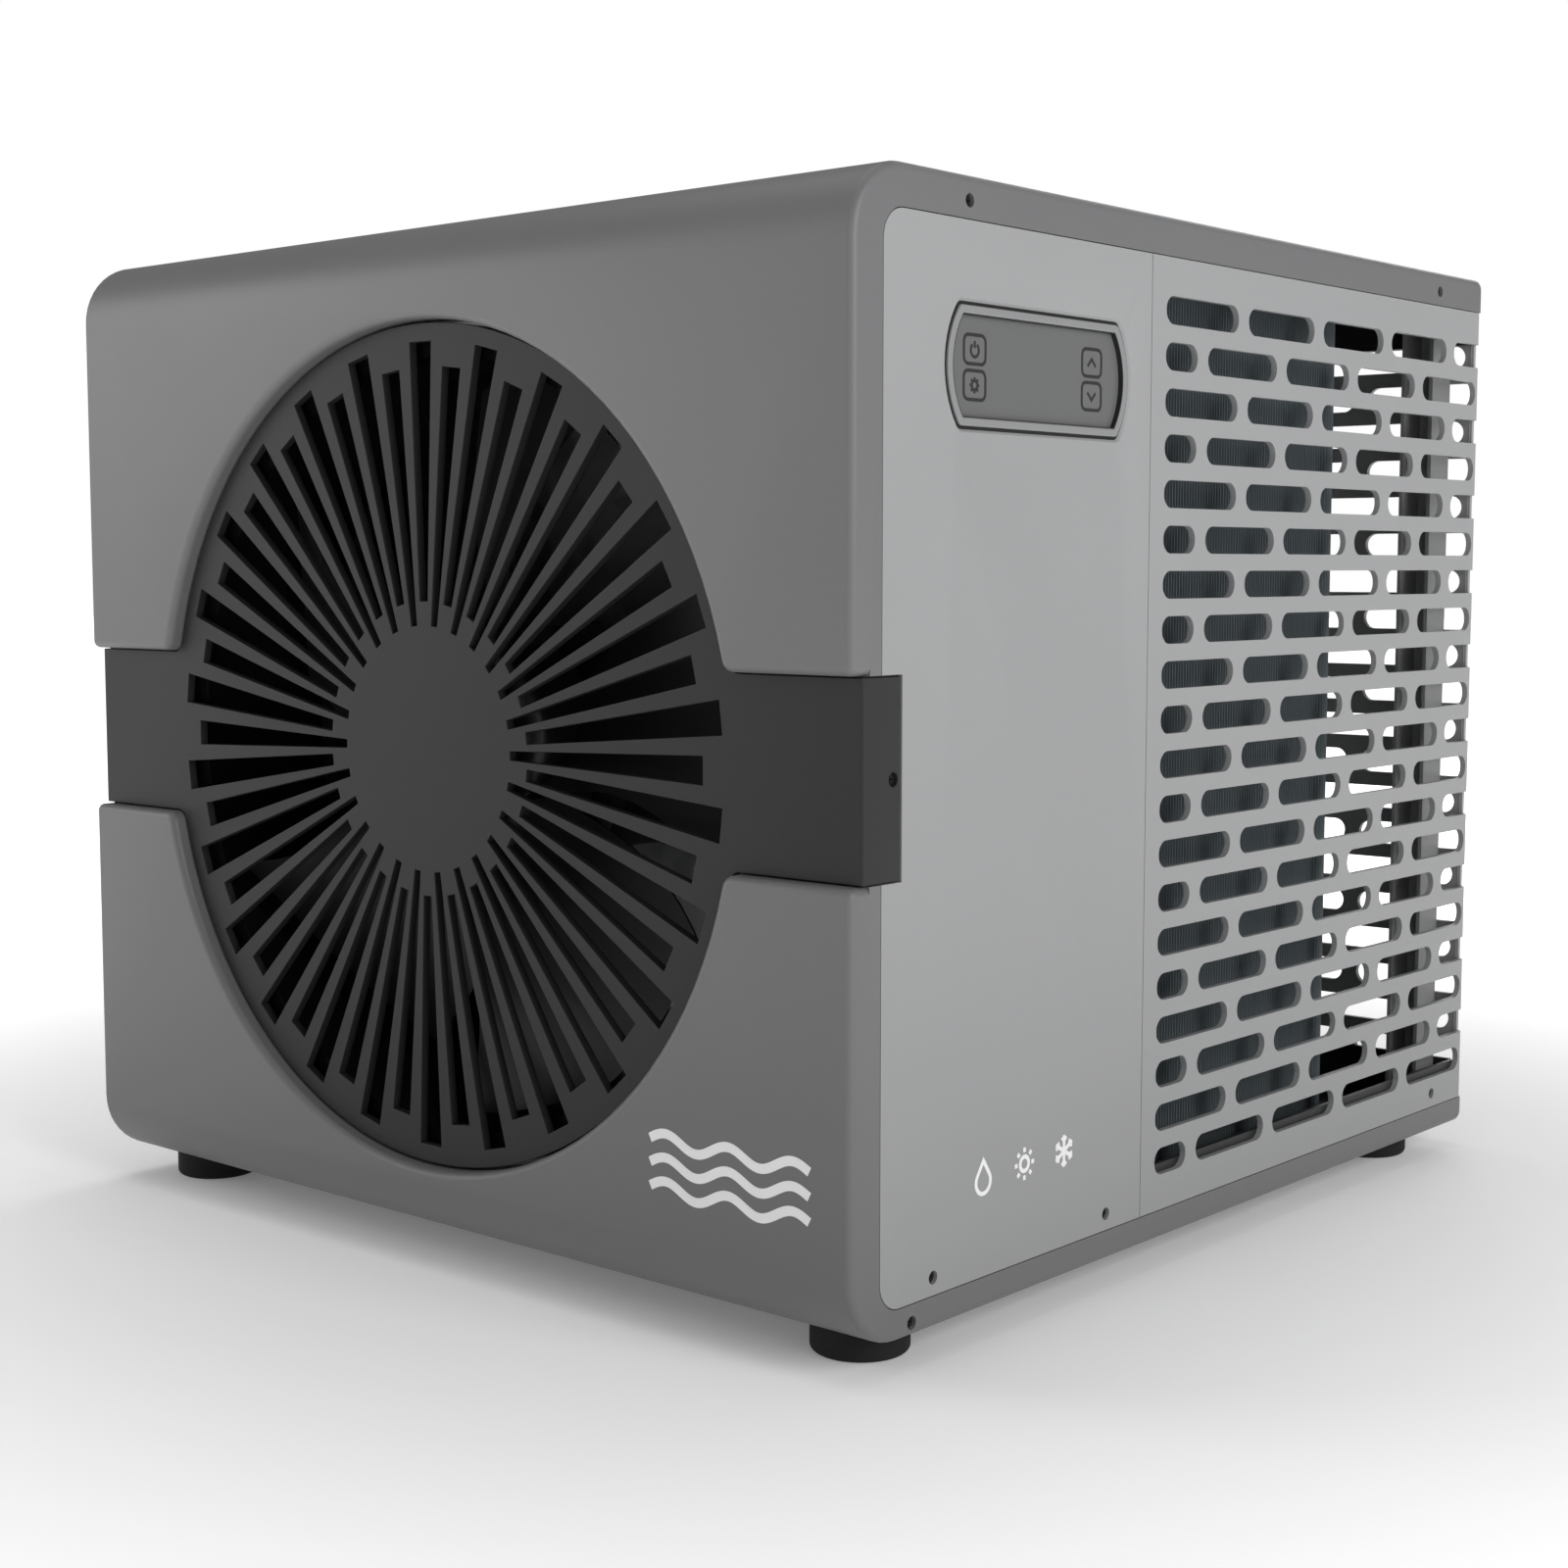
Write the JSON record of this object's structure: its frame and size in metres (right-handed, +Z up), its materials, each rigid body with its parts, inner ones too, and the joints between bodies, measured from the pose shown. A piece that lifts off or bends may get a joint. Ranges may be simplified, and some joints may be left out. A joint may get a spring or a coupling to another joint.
{
  "type": "pool heat pump unit",
  "caption": "Compact air-source heat pump for a small pool or spa: box case with a round radial-slot fan grille, side air inlet, touch display and rear water unions.",
  "frame": {"origin": "under the middle of the whole unit, on the surface that its feet stand on", "axes": "+Z up; -Y is the fan grille's side, +Y the water unions' side; +X is the display's side"},
  "size_m": [0.364, 0.44, 0.34],
  "materials": {
    "shell": "satin",
    "panel": "satin",
    "dark_grille": "satin",
    "display": "satin",
    "gloss_black": "gloss",
    "fan_plastic": "satin",
    "galvanised": "satin",
    "zinc_screw": "satin",
    "dark_screw": "satin",
    "steel": "satin",
    "winding": "satin",
    "motor_paint": "satin",
    "compressor_paint": "satin",
    "fins": "satin",
    "copper": "satin",
    "brass": "satin",
    "titanium": "satin",
    "vessel": "satin",
    "union_plastic": "satin",
    "rubber": "matte",
    "board": "satin",
    "capacitor": "satin",
    "solenoid": "satin"
  },
  "bodies": {
    "case": {"front_shell": "shell", "front_grille": "dark_grille", "right_front_panel": "panel", "right_grille_panel": "panel", "left_front_panel": "panel", "left_rear_panel": "panel", "base_tray": "galvanised", "top_frame": "galvanised", "rear_posts": "galvanised", "rubber_feet": "rubber", "foot_screws": "zinc_screw", "case_screws": "dark_screw", "display_bezel": "panel", "display_plate": "display", "display_board": "board", "fan_shroud": "gloss_black", "motor_stator": "winding", "motor_housing": "motor_paint", "motor_bracket": "galvanised", "motor_screws": "zinc_screw", "coil_fins": "fins", "coil_end_plates": "galvanised", "coil_bends": "copper", "partition": "galvanised", "partition_grommets": "rubber", "compressor": "compressor_paint", "compressor_mounting_plate": "compressor_paint", "compressor_grommets": "rubber", "compressor_studs": "zinc_screw", "terminal_cover": "fan_plastic", "accumulator": "compressor_paint", "reversing_valve": "brass", "valve_coil": "solenoid", "discharge_line": "copper", "suction_line": "copper", "coil_gas_line": "copper", "hx_gas_line": "copper", "liquid_line": "copper", "filter_drier": "copper", "capillary": "copper", "hx_body": "vessel", "hx_lid": "vessel", "hx_coil": "titanium", "union_gaskets": "rubber", "hose_tails": "union_plastic", "control_box": "galvanised", "control_cover": "galvanised", "control_board": "board", "run_capacitor": "capacitor", "cable_gland": "fan_plastic", "drain_nozzle": "fan_plastic"},
    "fan": {"fan_wheel": "fan_plastic", "fan_nut": "zinc_screw", "motor_rotor": "steel"},
    "power_key": {"key_power": "display"},
    "menu_key": {"key_menu": "display"},
    "up_key": {"key_up": "display"},
    "down_key": {"key_down": "display"},
    "inlet_nut": {"inlet_union_nut": "union_plastic"},
    "outlet_nut": {"outlet_union_nut": "union_plastic"}
  },
  "joints": [
    {"name": "fan_spin", "type": "hinge", "parent": "case", "child": "fan", "pos_m": [0, -0.184, 0.171], "axis": [0, 1, 0], "continuous": true},
    {"name": "power_press", "type": "slide", "parent": "case", "child": "power_key", "axis": [-1, 0, 0], "range_m": [0, 0.0005], "stiffness_N_per_m": 2500},
    {"name": "menu_press", "type": "slide", "parent": "case", "child": "menu_key", "axis": [-1, 0, 0], "range_m": [0, 0.0005], "stiffness_N_per_m": 2500},
    {"name": "up_press", "type": "slide", "parent": "case", "child": "up_key", "axis": [-1, 0, 0], "range_m": [0, 0.0005], "stiffness_N_per_m": 2500},
    {"name": "down_press", "type": "slide", "parent": "case", "child": "down_key", "axis": [-1, 0, 0], "range_m": [0, 0.0005], "stiffness_N_per_m": 2500},
    {"name": "inlet_nut_turn", "type": "hinge", "parent": "case", "child": "inlet_nut", "pos_m": [-0.118, 0.177, 0.08], "axis": [0, 1, 0], "continuous": true},
    {"name": "outlet_nut_turn", "type": "hinge", "parent": "case", "child": "outlet_nut", "pos_m": [-0.118, 0.177, 0.21], "axis": [0, 1, 0], "continuous": true}
  ]
}
